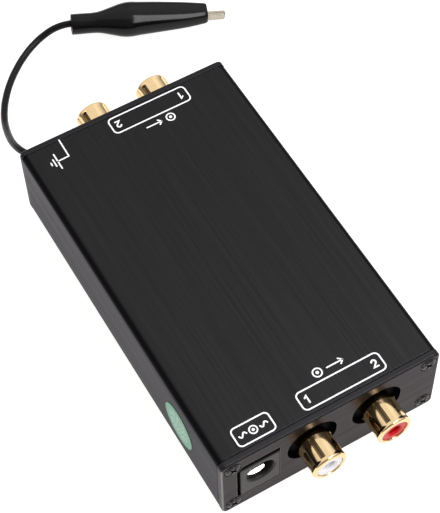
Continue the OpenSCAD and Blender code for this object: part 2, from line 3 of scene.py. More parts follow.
import math
from functools import partial

import bmesh
import bpy
from bpy.props import FloatProperty, FloatVectorProperty, PointerProperty
from bpy.types import Operator, Panel, PropertyGroup
from mathutils import Matrix, Quaternion, Vector


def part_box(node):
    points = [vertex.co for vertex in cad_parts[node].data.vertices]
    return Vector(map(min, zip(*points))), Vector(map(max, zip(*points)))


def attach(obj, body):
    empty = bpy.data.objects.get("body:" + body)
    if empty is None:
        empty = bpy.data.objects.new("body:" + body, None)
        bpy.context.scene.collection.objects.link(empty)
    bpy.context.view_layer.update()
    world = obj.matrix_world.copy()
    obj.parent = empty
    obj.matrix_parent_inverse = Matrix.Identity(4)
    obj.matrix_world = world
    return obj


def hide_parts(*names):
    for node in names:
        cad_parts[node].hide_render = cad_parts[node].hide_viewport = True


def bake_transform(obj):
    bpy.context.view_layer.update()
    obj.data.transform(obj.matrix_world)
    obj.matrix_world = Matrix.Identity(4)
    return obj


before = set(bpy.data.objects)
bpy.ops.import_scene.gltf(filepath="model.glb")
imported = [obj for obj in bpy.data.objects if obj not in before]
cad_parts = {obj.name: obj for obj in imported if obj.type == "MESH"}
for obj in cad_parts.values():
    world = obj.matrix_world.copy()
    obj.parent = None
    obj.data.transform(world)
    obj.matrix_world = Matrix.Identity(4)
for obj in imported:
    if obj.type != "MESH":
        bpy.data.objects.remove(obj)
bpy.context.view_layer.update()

bl_info = {
    "name": "Phono preamp",
    "version": (1, 0, 0),
    "blender": (4, 5, 0),
    "location": "View3D > Sidebar > Preamp",
    "description": "Finishes, signs and ground lead of a small aluminium phono preamp",
    "category": "Object",
}

MM = 0.001

LID_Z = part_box("case_sleeve")[1].z          # top of the sleeve
PLATE_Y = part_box("rear_plate")[1].y         # from the case's middle to the outer face of either plate

GROOVE_ATTRIBUTE = "groove"                 # 1 where a barrel's skin is on the floor of a groove
MID_NOISE = (0.3, 0.7)                      # the part of a noise pattern's range that holds most of it
FALLING = (1.0, 0.0)                        # what a range is brought to where a share counts down


# ---------- colours and nodes ----------


def linear(hex_colour):
    """Turns an sRGB hex colour into the linear RGBA that shaders use."""
    channels = [int(hex_colour[i : i + 2], 16) / 255 for i in (1, 3, 5)]
    return [c / 12.92 if c <= 0.04045 else ((c + 0.055) / 1.055) ** 2.4 for c in channels] + [1.0]


def shade(colour, factor):
    """The same colour made darker or lighter."""
    return [min(1.0, c * factor) for c in colour[:3]] + [1.0]


def add_node(tree, kind, inputs, output=None, **settings):
    """Adds a node to a node tree and gives back one of its outputs, the first in use or by name.

    An input is a value, or the output that feeds it. A dict fills sockets by name. A list or a tuple
    fills those in use from the first on: a Map Range's are its value, the range that this is in and
    the range that it is brought to, and a Mix's are the share, the first and the second.
    """
    node = tree.nodes.new(kind)
    for name, value in settings.items():
        setattr(node, name, value)
    sockets = [socket for socket in node.inputs if socket.enabled]
    if isinstance(inputs, dict):
        sockets = [node.inputs[name] for name in inputs]
        inputs = inputs.values()
    for socket, value in zip(sockets, inputs):
        if isinstance(value, bpy.types.NodeSocket):
            tree.links.new(value, socket)
        else:
            socket.default_value = value
    if output:
        return node.outputs[output]
    return next((socket for socket in node.outputs if socket.enabled), None)


def make_material(look, *measures, name=None, **finish):
    """Makes a material with the shader inputs that a look gives, named as the look or by a name.

    A look is a function below. Its first argument, node, is the function that adds a node.
    """
    material = bpy.data.materials.new(name or look.__name__)
    material.use_nodes = True
    material.node_tree.nodes.clear()
    node = partial(add_node, material.node_tree)
    shader = node("ShaderNodeBsdfPrincipled", look(node, *measures, **finish))
    node("ShaderNodeOutputMaterial", {"Surface": shader})
    return material


def coordinate(node, axis):
    """One of the piece's own coordinates, in metres."""
    place = node("ShaderNodeTexCoord", {}, "Object")
    return node("ShaderNodeSeparateXYZ", {"Vector": place}, axis)


def grain(node, *period_mm, detail=2.0):
    """Noise from the piece's own coordinates; period_mm is its grain, or that along X, Y and Z."""
    place = node("ShaderNodeTexCoord", {}, "Object")
    scale = [1 / (MM * period) for period in period_mm] * (3 // len(period_mm))
    stretched = node("ShaderNodeMapping", {"Vector": place, "Scale": scale})
    return node("ShaderNodeTexNoise", {"Vector": stretched, "Scale": 1.0, "Detail": detail})


def mottled(node, pattern, first, second, shown=MID_NOISE):
    """A colour that turns from the first to the second over the shown part of a pattern's range."""
    share = node("ShaderNodeMapRange", (pattern, *shown))
    return node("ShaderNodeMix", (share, first, second), data_type="RGBA")


def patterned(node, pattern, first, second, rough, shown=MID_NOISE, rough_pattern=None):
    """Shader inputs for a colour and a roughness that follow a pattern, or a pattern each."""
    rough_range = (rough_pattern or pattern, *MID_NOISE, *rough)
    return {
        "Base Color": mottled(node, pattern, first, second, shown),
        "Roughness": node("ShaderNodeMapRange", rough_range),
    }


def relief(node, height, depth_mm, edge_mm=0.0):
    """A normal raised by a pattern, over sharp edges that look rounded to edge_mm."""
    inputs = {"Height": height, "Distance": depth_mm * MM}
    if edge_mm:
        inputs["Normal"] = node("ShaderNodeBevel", {"Radius": edge_mm * MM}, samples=4)
    return node("ShaderNodeBump", inputs)


# ---------- metals ----------


def side_edge_share(node, normal, upright):
    """1 where a softened normal turns to the piece's left or right, as it does over its side edges.

    With upright it is 1 on the standing edges alone, where the normal stays level too.
    """
    x = node("ShaderNodeSeparateXYZ", {"Vector": normal}, "X")
    sideways = node("ShaderNodeMath", [x], operation="ABSOLUTE")
    # The edge starts where the normal leaves the face and ends where it arrives at the side
    leaving = node("ShaderNodeMapRange", (sideways, 0.18, 0.4))
    arriving = node("ShaderNodeMapRange", (sideways, 0.88, 0.98, *FALLING))
    share = node("ShaderNodeMath", (leaving, arriving), operation="MULTIPLY")
    if not upright:
        return share
    tilt = node("ShaderNodeMath", [x.node.outputs["Z"]], operation="ABSOLUTE")
    level = node("ShaderNodeMapRange", (tilt, 0.05, 0.2, *FALLING))
    return node("ShaderNodeMath", (share, level), operation="MULTIPLY")


def brushed_anodised_aluminium(node, tint, streak_mm, edge_on, edge_mm, edge_tint, edge_cover, upright):
    """Aluminium, brushed along one axis and dyed black: long fine streaks and a grey sheen edge-on.

    streak_mm is the length and the spacing of the brush lines along X, Y and Z. The side edges are rounded to
    edge_mm and carry a painted tint over a given share: painted shade where it is near black, a painted
    highlight where it is pale.
    """
    # Real brush lines are about 0.05 mm apart; they are drawn coarser so that they show
    lines = grain(node, *streak_mm, detail=4.0)
    bands = grain(node, *(4.5 * period for period in streak_mm), detail=1.0)
    line_range = (0.25, 0.75)
    colour = mottled(node, lines, shade(tint, 0.86), shade(tint, 1.16), line_range)
    line_rough = node("ShaderNodeMapRange", (lines, *line_range, 0.0, 0.08))
    band_rough = node("ShaderNodeMapRange", (bands, *MID_NOISE, 0.3, 0.38))
    normal = node("ShaderNodeBevel", {"Radius": edge_mm * MM}, samples=4)
    edge = side_edge_share(node, normal, upright)
    # Painted light on the side edges: painted shade on the sleeve, a painted highlight on the plates
    covered = node("ShaderNodeMath", (edge, edge_cover), operation="MULTIPLY")
    raised = {"Height": lines, "Distance": 0.007 * MM, "Normal": normal}
    return {
        "Base Color": node("ShaderNodeMix", (covered, colour, edge_tint), data_type="RGBA"),
        "Metallic": 1.0,
        "Specular Tint": edge_on,
        "Roughness": node("ShaderNodeMath", (line_rough, band_rough), operation="ADD"),
        "Normal": node("ShaderNodeBump", raised),
    }


def polished_gold_plate(node, tint):
    """Gold on turned brass: mirror bright with faint turning rings; the groove floors are painted brown and
    rougher, as painted shade.
    """
    # Real turning rings are about 0.05 mm apart; they are drawn coarser so that they show
    rings = grain(node, 9.0, 0.16, 9.0)
    haze = grain(node, 1.8)
    skin = patterned(node, haze, tint, shade(tint, 0.93), rough=(0.07, 0.15))
    groove = node("ShaderNodeAttribute", {}, "Fac", attribute_name=GROOVE_ATTRIBUTE)
    dullness = node("ShaderNodeMath", (groove, 0.3), operation="MULTIPLY")
    # Painted shade: the groove floors get a dull brown in place of the gold, for the shade that falls in them
    worn = linear("#574a35")
    return {
        "Base Color": node("ShaderNodeMix", (groove, skin["Base Color"], worn), data_type="RGBA"),
        "Metallic": 1.0,
        "Roughness": node("ShaderNodeMath", (skin["Roughness"], dullness), operation="ADD"),
        "Normal": relief(node, rings, 0.002),
    }


def nickel_plated_steel(node, tint):
    """Pressed steel under nickel: bright and a little warm, with shallow press marks."""
    marks = grain(node, 0.9, detail=3.0)
    return {
        **patterned(node, marks, tint, shade(tint, 0.86), rough=(0.12, 0.22)),
        "Metallic": 1.0,
        "Normal": relief(node, marks, 0.003, edge_mm=0.15),
    }


def bright_tin(node, tint):
    """Tin plate on a contact spring: almost white, with a soft gloss and a few wipe marks."""
    wipes = grain(node, 0.2, 1.6, 0.6)
    return {
        **patterned(node, wipes, tint, shade(tint, 0.9), rough=(0.22, 0.34)),
        "Metallic": 1.0,
        "Normal": relief(node, wipes, 0.002),
    }


def drawn_spring_steel(node, tint):
    """Bare drawn wire: grey, with a fine mottle and a satin gloss."""
    mottle = grain(node, 0.25, detail=3.0)
    return {
        "Base Color": node("ShaderNodeMix", (mottle, shade(tint, 0.8), tint), data_type="RGBA"),
        "Metallic": 1.0,
        "Roughness": node("ShaderNodeMapRange", (mottle, *MID_NOISE, 0.28, 0.42)),
    }


def black_oxide_steel(node, tint):
    """Blackened screw steel: dark and oily, with brighter patches of wear."""
    wear = grain(node, 0.45, detail=4.0)
    return {
        **patterned(node, wear, tint, shade(tint, 5.0), rough=(0.28, 0.44), shown=(0.52, 0.62)),
        "Metallic": 0.9,
        "Normal": relief(node, wear, 0.008),
    }


# ---------- plastics, rubber and ink ----------


def moulded_plastic(node, tint, rough, grain_mm, relief_mm, gloss=0.5, edge_mm=0.1, glow=0.0):
    """Injection-moulded plastic: even colour, with the fine spark grain of its mould.

    glow is how far light gets under its skin, from 0 to 1.
    """
    # A mould's spark grain is about 0.05 mm; grain_mm is coarser so that it shows
    spark = grain(node, grain_mm, detail=3.0)
    cloud = grain(node, 6.0, detail=1.0)
    rough_range = (rough - 0.05, rough + 0.06)
    return {
        **patterned(node, cloud, shade(tint, 0.92), tint, rough_range, rough_pattern=spark),
        "IOR": 1.49,
        "Specular IOR Level": gloss,
        "Subsurface Weight": glow,
        "Subsurface Radius": (0.8 * MM,) * 3,
        "Subsurface Scale": 1.0,
        "Normal": relief(node, spark, relief_mm, edge_mm),
    }


def recessed_plastic(node, tint, step_z, dark):
    """Satin moulded plastic whose upper part is painted near black and loses its gloss: painted shade under
    the plate.
    """
    gloss = 0.28
    inputs = moulded_plastic(node, tint, 0.42, 0.35, 0.012, gloss, edge_mm=0.8)
    step_range = (step_z - 0.25 * MM, step_z + 0.35 * MM)
    # Painted shade: above this height the colour turns near black and the gloss falls away
    step = node("ShaderNodeMapRange", (coordinate(node, "Z"), *step_range))
    inputs["Base Color"] = node("ShaderNodeMix", (step, inputs["Base Color"], dark), data_type="RGBA")
    inputs["Specular IOR Level"] = node("ShaderNodeMapRange", (step, 0.0, 1.0, gloss, 0.03))
    return inputs


def soft_pvc(node, tint, rough, ripple_mm):
    """Plasticised PVC: black and oily, with slow ripples from extrusion or dipping."""
    ripple = grain(node, ripple_mm, detail=1.0)
    dust = grain(node, 0.35, detail=3.0)
    return {
        **patterned(node, dust, tint, shade(tint, 1.5), rough=(rough, rough + 0.06), shown=(0.55, 0.8)),
        "IOR": 1.53,
        "Specular IOR Level": 0.16,
        "Normal": relief(node, ripple, 0.05),
    }


def moulded_rubber(node, tint):
    """Natural rubber: matt, almost no gloss, with a dusty bloom."""
    bloom = grain(node, 0.8, detail=4.0)
    return {
        **patterned(node, bloom, tint, shade(tint, 2.4), rough=(0.7, 0.9), shown=(0.45, 0.8)),
        "Normal": relief(node, bloom, 0.02),
    }


def printed_vinyl_film(node, tint, centre, radius_mm):
    """Satin vinyl film: mint ink with a lighter flecked middle and a plain rim."""
    flecks = grain(node, 0.5)
    squares = []
    for axis, middle in (("Y", centre.y), ("Z", centre.z)):
        away = node("ShaderNodeMath", (coordinate(node, axis), middle), operation="SUBTRACT")
        squares.append(node("ShaderNodeMath", (away, away), operation="MULTIPLY"))
    squared = node("ShaderNodeMath", squares, operation="ADD")
    from_centre = node("ShaderNodeMath", [squared], operation="SQRT")
    rim, fade = 0.72 * radius_mm * MM, 0.6 * MM
    inside = node("ShaderNodeMapRange", (from_centre, rim - fade, rim + fade, *FALLING))
    flecked = node("ShaderNodeMapRange", (flecks, 0.46, 0.6, 0.0, 0.85))
    share = node("ShaderNodeMath", (flecked, inside), operation="MULTIPLY")
    return {
        "Base Color": node("ShaderNodeMix", (share, tint, linear("#b4d2c3")), data_type="RGBA"),
        "Roughness": 0.3,
        "Specular IOR Level": 0.15,
        "Normal": relief(node, flecks, 0.004),
    }


def screen_print_ink(node, tint):
    """White epoxy ink: opaque and matt, a little thin over the brush lines."""
    cover = grain(node, 0.25, 1.2, 0.25, detail=3.0)
    return {
        "Base Color": mottled(node, cover, shade(tint, 0.85), tint, shown=(0.2, 0.5)),
        "Roughness": 0.55,
        "Normal": relief(node, cover, 0.004),
    }


def lit_matt_acrylic(node, tint):
    """Frosted acrylic lit from below: even and almost white, so that hardly a shadow falls on it."""
    haze = grain(node, 3.0, detail=3.0)
    return {
        "Base Color": node("ShaderNodeMix", (haze, shade(tint, 0.32), shade(tint, 0.33)), data_type="RGBA"),
        "Roughness": 0.9,
        "Normal": relief(node, haze, 0.01),
        "Emission Color": tint,
        "Emission Strength": 1.0,
    }


# ---------- board and its parts ----------


def solder_masked_board(node, tint):
    """Glass-fibre board under green lacquer: copper tracks show through as paler lines."""
    place = node("ShaderNodeTexCoord", {}, "Object")
    bricks = {"Vector": place, "Scale": 1 / (7 * MM), "Mortar Size": 0.06, "Bias": -0.5}
    tracks = node("ShaderNodeTexBrick", bricks, "Fac")
    weave = grain(node, 0.6, detail=1.0)
    woven = node("ShaderNodeMapRange", (weave, *MID_NOISE, 0.0, 0.25))
    lacquer = node("ShaderNodeMix", (tracks, tint, shade(tint, 1.9)), data_type="RGBA")
    return {
        "Base Color": node("ShaderNodeMix", (woven, lacquer, shade(tint, 0.6)), data_type="RGBA"),
        "Roughness": 0.32,
        "Coat Weight": 0.4,
        "Normal": relief(node, tracks, 0.03),
    }


def part_with_metal(node, tint, slab, rough):
    """A part of the board: tinted body between a slab's low and high end across an axis, metal outside."""
    axis, low, high = slab
    place = coordinate(node, axis)
    above = node("ShaderNodeMath", (place, high), operation="GREATER_THAN")
    below = node("ShaderNodeMath", (place, low), operation="LESS_THAN")
    metal = node("ShaderNodeMath", (above, below), operation="MAXIMUM")
    speck = grain(node, 0.5, detail=3.0)
    body = patterned(node, speck, shade(tint, 0.88), tint, rough=(rough - 0.04, rough + 0.06))
    return {
        "Base Color": node("ShaderNodeMix", (metal, body["Base Color"], linear("#c9c9cb")), data_type="RGBA"),
        "Metallic": metal,
        "Roughness": body["Roughness"],
        "Normal": relief(node, speck, 0.01),
    }


# ---------- settings ----------


def colour_property(name, description, hex_colour):
    """A colour that the user may change, given as sRGB hex."""
    return FloatVectorProperty(
        name=name, description=description, subtype="COLOR", size=4, min=0, max=1, default=linear(hex_colour)
    )


def size_property(name, description, metres):
    """A length that the user may change."""
    return FloatProperty(
        name=name, description=description, subtype="DISTANCE", unit="LENGTH", default=metres
    )


def angle_property(name, description, degrees):
    """An angle that the user may change."""
    return FloatProperty(
        name=name, description=description, subtype="ANGLE", unit="ROTATION", default=math.radians(degrees)
    )


class CaseSettings(PropertyGroup):
    """Finish of the case."""

    sleeve_tint: colour_property("Sleeve", "Dye in the sleeve's anodised skin", "#2a2a2b")
    plate_tint: colour_property("Plates", "Dye in the end plates' anodised skin", "#2e2d2f")
    sleeve_edge_on_tint: colour_property("Sleeve edge-on", "Sheen of the sleeve seen edge-on", "#d1cfd2")
    plate_edge_on_tint: colour_property("Plates edge-on", "Sheen of the end plates seen edge-on", "#e6e1e1")
    brush_pitch: size_property("Brush pitch", "Spacing of the brush lines", 0.3 * MM)
    sticker_tint: colour_property("Sticker", "Ink of the round sticker", "#589f7d")


class SocketSettings(PropertyGroup):
    """Finish of the sockets."""

    gold_tint: colour_property("Gold", "Gold plate on the barrels", "#efd0a0")
    white_tint: colour_property("White core", "Core of the left channel's sockets", "#e9e7ea")
    red_tint: colour_property("Red core", "Core of the right channel's sockets", "#c5151b")
    nylon_tint: colour_property("Housings", "Nylon behind the phono sockets", "#080808")
    power_tint: colour_property("Power socket", "Body of the power socket", "#221e1c")
    nickel_tint: colour_property("Nickel", "Power pin, jaws and other bright metal", "#b9b0a1")


class SignSettings(PropertyGroup):
    """Signs printed on the lid."""

    line_width: size_property("Line width", "Width of the frames' printed lines", 0.38 * MM)
    ink_thickness: size_property("Ink thickness", "How far the ink stands on the lid", 0.02 * MM)
    ink_tint: colour_property("Ink", "Colour of the printing", "#f1f1f3")


class LeadSettings(PropertyGroup):
    """Ground lead and its clip."""

    wire_diameter: size_property("Wire diameter", "Over the insulation", 2 * MM)
    boot_wall: size_property("Boot wall", "Thickness of the clip's boot", 0.8 * MM)
    pvc_tint: colour_property("PVC", "Wire insulation and boot", "#0c0b0b")


class StageSettings(PropertyGroup):
    """Camera, floor and light."""

    lens: FloatProperty(name="Lens", description="Focal length", unit="CAMERA", default=114.07, min=20)
    distance: size_property("Distance", "From the camera to what it looks at", 415.3 * MM)
    azimuth: angle_property("Azimuth", "Round the object, from the output end", -28.255)
    elevation: angle_property("Elevation", "Above the horizon", 57.525)
    roll: angle_property("Roll", "Turn about the view", 2.1)
    floor_tint: colour_property("Floor", "Pale lit acrylic floor", "#f4f4f3")
    light: FloatProperty(name="Light", description="Strength of the softboxes", default=1.0, min=0)


SETTINGS = {
    "preamp_case": CaseSettings,
    "preamp_sockets": SocketSettings,
    "preamp_signs": SignSettings,
    "preamp_lead": LeadSettings,
    "preamp_stage": StageSettings,
}


# ---------- pieces ----------


def dress(material, *nodes):
    """Puts a material on CAD nodes."""
    for node in nodes:
        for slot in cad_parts[node].material_slots:
            slot.link = "OBJECT"
            slot.material = material


def new_piece(name, mesh_or_curve, material):
    """Puts a new piece in the scene with its material."""
    piece = bpy.data.objects.new(name, mesh_or_curve)
    bpy.context.scene.collection.objects.link(piece)
    piece.data.materials.append(material)
    return piece


def mesh_piece(name, shape, material, sharp_from=None):
    """Turns a bmesh into a new piece, flat or smooth apart from edges of sharp_from degrees and more."""
    bmesh.ops.recalc_face_normals(shape, faces=shape.faces)
    mesh = bpy.data.meshes.new(name)
    shape.to_mesh(mesh)
    shape.free()
    if sharp_from:
        mesh.polygons.foreach_set("use_smooth", [True] * len(mesh.polygons))
        mesh.set_sharp_from_angle(angle=math.radians(sharp_from))
    return new_piece(name, mesh, material)


def ring_skin(rings, closed):
    """A skin over rings with the same number of points; closed joins the last ring to the first."""
    shape = bmesh.new()
    rows = [[shape.verts.new(point) for point in ring] for ring in rings]
    sides = len(rows[0])
    joins = list(zip(rows, rows[1:])) + ([(rows[-1], rows[0])] if closed else [])
    for near, far in joins:
        for k in range(sides):
            following = (k + 1) % sides
            shape.faces.new((near[k], near[following], far[following], far[k]))
    if not closed:
        shape.faces.new(rows[0])
        shape.faces.new(rows[-1])
    return shape


def tube_rings(route, radius, sides):
    """Rings round a route of points."""
    rings = []
    for i, point in enumerate(route):
        ahead = (route[min(i + 1, len(route) - 1)] - route[max(i - 1, 0)]).normalized()
        side = ahead.cross(Vector((0, 0, 1))).normalized()
        up = side.cross(ahead)
        turns = [2 * math.pi * k / sides for k in range(sides)]
        rings.append([point + radius * (math.cos(a) * side + math.sin(a) * up) for a in turns])
    return rings


# ---------- ground lead ----------

# Middle of the ground wire, in millimetres, from the grommet to the clip's crimp
WIRE_ROUTE = [
    (-25.2, 53.1, 13), (-25.2, 56, 13), (-25.6, 59.5, 12.5), (-26.3, 62.8, 11.3),
    (-26.4, 66.8, 9.2), (-25.8, 71.4, 6.5), (-24.8, 76, 4.1), (-23.5, 80.4, 2.3),
    (-21.6, 84.7, 1.4), (-19.2, 88.6, 1.05), (-16.2, 92.3, 1.05), (-12.3, 96.1, 1.05),
    (-8.1, 99.3, 1.1), (-4, 101.4, 1.5), (0, 102, 2.8), (3.6, 101, 4.8),
    (7.4, 99.5, 5.66), (10.2, 98.43, 5.4),
]

# The clip's own frame: X along it to the jaws, Y across, Z up
CLIP_TURN, CLIP_DIP = math.radians(-20.9), math.radians(4.94)
CLIP_PLACE = Matrix.Translation(Vector((7.4, 99.5, 5.66)) * MM) @ (
    Matrix.Rotation(CLIP_TURN, 4, "Z") @ Matrix.Rotation(CLIP_DIP, 4, "Y")
)
PIVOT = Vector((21, -0.3, 0))   # middle of the rivet that the jaws turn on, in millimetres


def clip_point(x, y, z):
    """A point in millimetres in the clip's frame, in the object's frame."""
    return CLIP_PLACE @ (Vector((x, y, z)) * MM)


class PREAMP_OT_ground_wire(Operator):
    """Lays the ground wire from the grommet to the clip"""

    bl_idname = "preamp.ground_wire"
    bl_label = "Ground wire"

    def execute(self, context):
        lead = context.scene.preamp_lead
        curve = bpy.data.curves.new("ground_lead", "CURVE")
        curve.dimensions = "3D"
        curve.bevel_depth = lead.wire_diameter / 2
        curve.bevel_resolution = 6
        curve.resolution_u = 10
        curve.use_fill_caps = True
        spline = curve.splines.new("BEZIER")
        spline.bezier_points.add(len(WIRE_ROUTE) - 1)
        for point, place in zip(spline.bezier_points, WIRE_ROUTE):
            point.co = Vector(place) * MM
            point.handle_left_type = "AUTO"
            point.handle_right_type = "AUTO"
        insulation = make_material(soft_pvc, lead.pvc_tint, 0.34, 5.0, name="extruded_pvc")
        wire = new_piece("ground_lead", curve, insulation)
        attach(wire, "unit")
        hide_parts("ground_wire")
        dress(insulation, "ground_wire_inner")
        return {"FINISHED"}


# Stations of the boot: place along it, half width, half height, squareness, middle across
BOOT_STATIONS = [
    (0, 2.8, 2.75, 2, -0.37), (0.3, 3, 2.95, 2, -0.37), (6.5, 3, 2.9, 2, -0.37),
    (8.5, 3.3, 3.05, 2, -0.33), (12, 4.3, 3.6, 2.2, -0.24), (14.5, 5, 4, 2.3, -0.16),
    (17, 5.27, 4.2, 2.3, -0.04), (20, 4.87, 3.94, 2.5, 0), (26, 4.33, 3.42, 2.8, 0),
    (33, 3.7, 2.82, 3, -0.06), (38.3, 2.95, 2.36, 3, 0), (39.1, 2.8, 2.24, 3, 0.04),
    (39.5, 2.6, 2.1, 3, 0.04),
]
BOOT_LENGTH = BOOT_STATIONS[-1][0]
BOOT_SIDES = 64                 # points round it
BOOT_THINS_FROM = 26            # place where the wall starts to thin towards the jaws
BOOT_THINS_BY = 0.033           # how much it thins in a millimetre

# Places of the boot's rings: close together on its two lips, and 0.5 mm apart between them
BOOT_BETWEEN = [0.5 * i for i in range(1, 78)]
BOOT_OUTSIDE = [0, 0.08, 0.18, 0.3, *BOOT_BETWEEN, 38.7, 38.9, 39.1, 39.25, 39.38, 39.46, BOOT_LENGTH]
BOOT_INSIDE = [BOOT_LENGTH, 39.1, *reversed(BOOT_BETWEEN), 0.3, 0]


def smooth_station(x):
    """The boot's measures at x, on a smooth curve through its stations."""
    stations = BOOT_STATIONS
    last = len(stations) - 1
    i = max(j for j in range(last) if stations[j][0] <= x)
    here, there = stations[i], stations[i + 1]
    before, after = stations[max(i - 1, 0)], stations[min(i + 2, last)]
    step = there[0] - here[0]
    t = (x - here[0]) / step
    values = []
    for k in (1, 2, 3, 4):
        slope_here = (there[k] - before[k]) / (there[0] - before[0]) * step
        slope_there = (after[k] - here[k]) / (after[0] - here[0]) * step
        values.append(
            (2 * t**3 - 3 * t**2 + 1) * here[k]
            + (t**3 - 2 * t**2 + t) * slope_here
            + (3 * t**2 - 2 * t**3) * there[k]
            + (t**3 - t**2) * slope_there
        )
    return values


def boot_ring(x, inset):
    """Superellipse ring of the boot at x, drawn in by inset millimetres."""
    half_width, half_height, power, middle = smooth_station(x)
    ring = []
    for k in range(BOOT_SIDES):
        c, s = math.cos(2 * math.pi * k / BOOT_SIDES), math.sin(2 * math.pi * k / BOOT_SIDES)
        y = middle + (half_width - inset) * math.copysign(abs(c) ** (2 / power), c)
        z = (half_height - inset) * math.copysign(abs(s) ** (2 / power), s)
        ring.append(clip_point(x, y, z))
    return ring


class PREAMP_OT_clip_boot(Operator):
    """Moulds the clip's vinyl boot"""

    bl_idname = "preamp.clip_boot"
    bl_label = "Clip boot"

    def execute(self, context):
        lead = context.scene.preamp_lead
        skin = [boot_ring(x, 0) for x in BOOT_OUTSIDE]
        for x in BOOT_INSIDE:
            wall = lead.boot_wall / MM - max(0, x - BOOT_THINS_FROM) * BOOT_THINS_BY
            skin.append(boot_ring(x, wall))
        shape = ring_skin(skin, closed=True)
        vinyl = make_material(soft_pvc, lead.pvc_tint, 0.12, 7.0, name="dipped_vinyl")
        boot = mesh_piece("clip_boot_vinyl", shape, vinyl, sharp_from=50)
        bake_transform(boot)
        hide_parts("clip_boot")
        return {"FINISHED"}


class PREAMP_OT_clip_spring(Operator):
    """Winds the clip's torsion spring, one leg on each jaw"""

    bl_idname = "preamp.clip_spring"
    bl_label = "Clip spring"

    def execute(self, context):
        coil_radius, half_height, wire_radius = 1.1, 0.6, 0.2
        turns, steps = 2.5, 32
        fixed_leg, moving_leg = (14.5, -2.3, -half_height), (15, 2.3, half_height)
        count = int(turns * steps)
        coil = []
        for i in range(count + 1):
            a = math.radians(-90) + 2 * math.pi * i / steps
            z = -half_height + 2 * half_height * i / count
            coil.append((PIVOT.x + coil_radius * math.cos(a), PIVOT.y + coil_radius * math.sin(a), z))
        route = [clip_point(*point) for point in (fixed_leg, *coil, moving_leg)]
        shape = ring_skin(tube_rings(route, wire_radius * MM, sides=12), closed=False)
        steel = make_material(drawn_spring_steel, linear("#a3a3a6"))
        spring = mesh_piece("clip_spring_wire", shape, steel, sharp_from=40)
        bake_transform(spring)
        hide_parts("clip_spring")
        return {"FINISHED"}


class PREAMP_OT_clip_metal(Operator):
    bl_idname = "preamp.clip_metal"
    bl_label = "Clip metal"

    def execute(self, context):
        nickel = make_material(nickel_plated_steel, context.scene.preamp_sockets.nickel_tint)
        dress(nickel, "clip_fixed_jaw", "clip_moving_jaw", "clip_rivet")
        return {"FINISHED"}


# ---------- case ----------


class PREAMP_OT_case(Operator):
    """Brushes and dyes the sleeve and the end plates"""

    bl_idname = "preamp.case"
    bl_label = "Case"

    def execute(self, context):
        case = context.scene.preamp_case
        pitch = case.brush_pitch / MM
        # The sleeve's rounded long edges are painted near black, as painted shade
        sleeve = make_material(
            brushed_anodised_aluminium, case.sleeve_tint, (pitch, 34.0, pitch), case.sleeve_edge_on_tint,
            edge_mm=0.4, edge_tint=linear("#08080a"), edge_cover=0.75, upright=False,
            name="sleeve_brushed_anodised_aluminium",
        )
        # The plates' standing edges are painted pale grey, as a painted highlight
        plate = make_material(
            brushed_anodised_aluminium, case.plate_tint, (26.0, pitch, pitch), case.plate_edge_on_tint,
            edge_mm=0.25, edge_tint=linear("#c4c3c2"), edge_cover=0.33, upright=True,
            name="plate_brushed_anodised_aluminium",
        )
        dress(sleeve, "case_sleeve")
        dress(plate, "front_plate", "rear_plate")
        return {"FINISHED"}


class PREAMP_OT_fixings(Operator):
    """Finishes the plate screws, the feet and the grommet"""

    bl_idname = "preamp.fixings"
    bl_label = "Fixings"

    def execute(self, context):
        screw_steel = make_material(black_oxide_steel, linear("#232222"))
        dress(screw_steel, "front_plate_screws", "rear_plate_screws")
        rubber = make_material(moulded_rubber, linear("#161617"))
        dress(rubber, "rubber_feet", "ground_grommet")
        return {"FINISHED"}


class PREAMP_OT_sticker(Operator):
    """Prints the round sticker on the side"""

    bl_idname = "preamp.sticker"
    bl_label = "Sticker"

    def execute(self, context):
        low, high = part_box("side_sticker")
        radius_mm = (high.y - low.y) / 2 / MM
        tint = context.scene.preamp_case.sticker_tint
        film = make_material(printed_vinyl_film, tint, (low + high) / 2, radius_mm)
        dress(film, "side_sticker")
        return {"FINISHED"}


# ---------- sockets ----------

# Outer skin of a phono barrel: place outwards from the plate's face and radius, in millimetres
BARREL_RADIUS, BARREL_ROOT, BARREL_BORE = 4.55, 4.05, 3.5
BARREL_SKIN = [
    (0, BARREL_ROOT), (0.02, 4.46), (0.12, BARREL_RADIUS), (0.9, BARREL_RADIUS),
    (1.02, BARREL_RADIUS), (4, BARREL_RADIUS), (6.75, BARREL_RADIUS), (6.87, 4.56),
    (7, 4.575), (7.15, 4.6), (7.3, 4.63), (7.45, 4.66), (7.6, 4.675), (7.74, 4.65), (7.86, 4.58),
    (8, 4.44), (8.12, 4.2), (8.19, 3.95), (8.2, 3.75), (8.14, 3.6), (8.02, 3.52), (7.9, BARREL_BORE),
]
BARREL_STRETCH_FROM = 4         # a longer barrel is longer past this place
BARREL_STEP = 5                 # degrees between points round a barrel, away from its grooves

GROOVES, GROOVE_WIDTH, GROOVE_DEPTH = 4, 1.0, 0.45
GROOVE_EDGE = 0.18              # width over which a groove's side comes up
GROOVE_FROM, GROOVE_TO = 0.9, 6.87  # where they run along the barrel
GROOVE_STEP = 360 / GROOVES

# How far the grooves are turned round, in degrees, and how much longer the barrels are at each end
BARREL_TURN = {"output": -18, "input": -36}
BARREL_LONGER = {"output": 0, "input": 0.5}


def off_groove(angle, turn):
    """Degrees from an angle round a barrel to the middle of the nearest groove."""
    return abs((angle - turn + GROOVE_STEP / 2) % GROOVE_STEP - GROOVE_STEP / 2)


def groove_share(place, angle, turn):
    """How far the skin is down in a groove, from 0 to 1, at a place along the barrel and an angle."""
    if not GROOVE_FROM < place < GROOVE_TO:
        return 0.0
    past_floor = math.radians(off_groove(angle, turn)) * BARREL_RADIUS - GROOVE_WIDTH / 2
    return min(1.0, max(0.0, 1 - past_floor / GROOVE_EDGE))


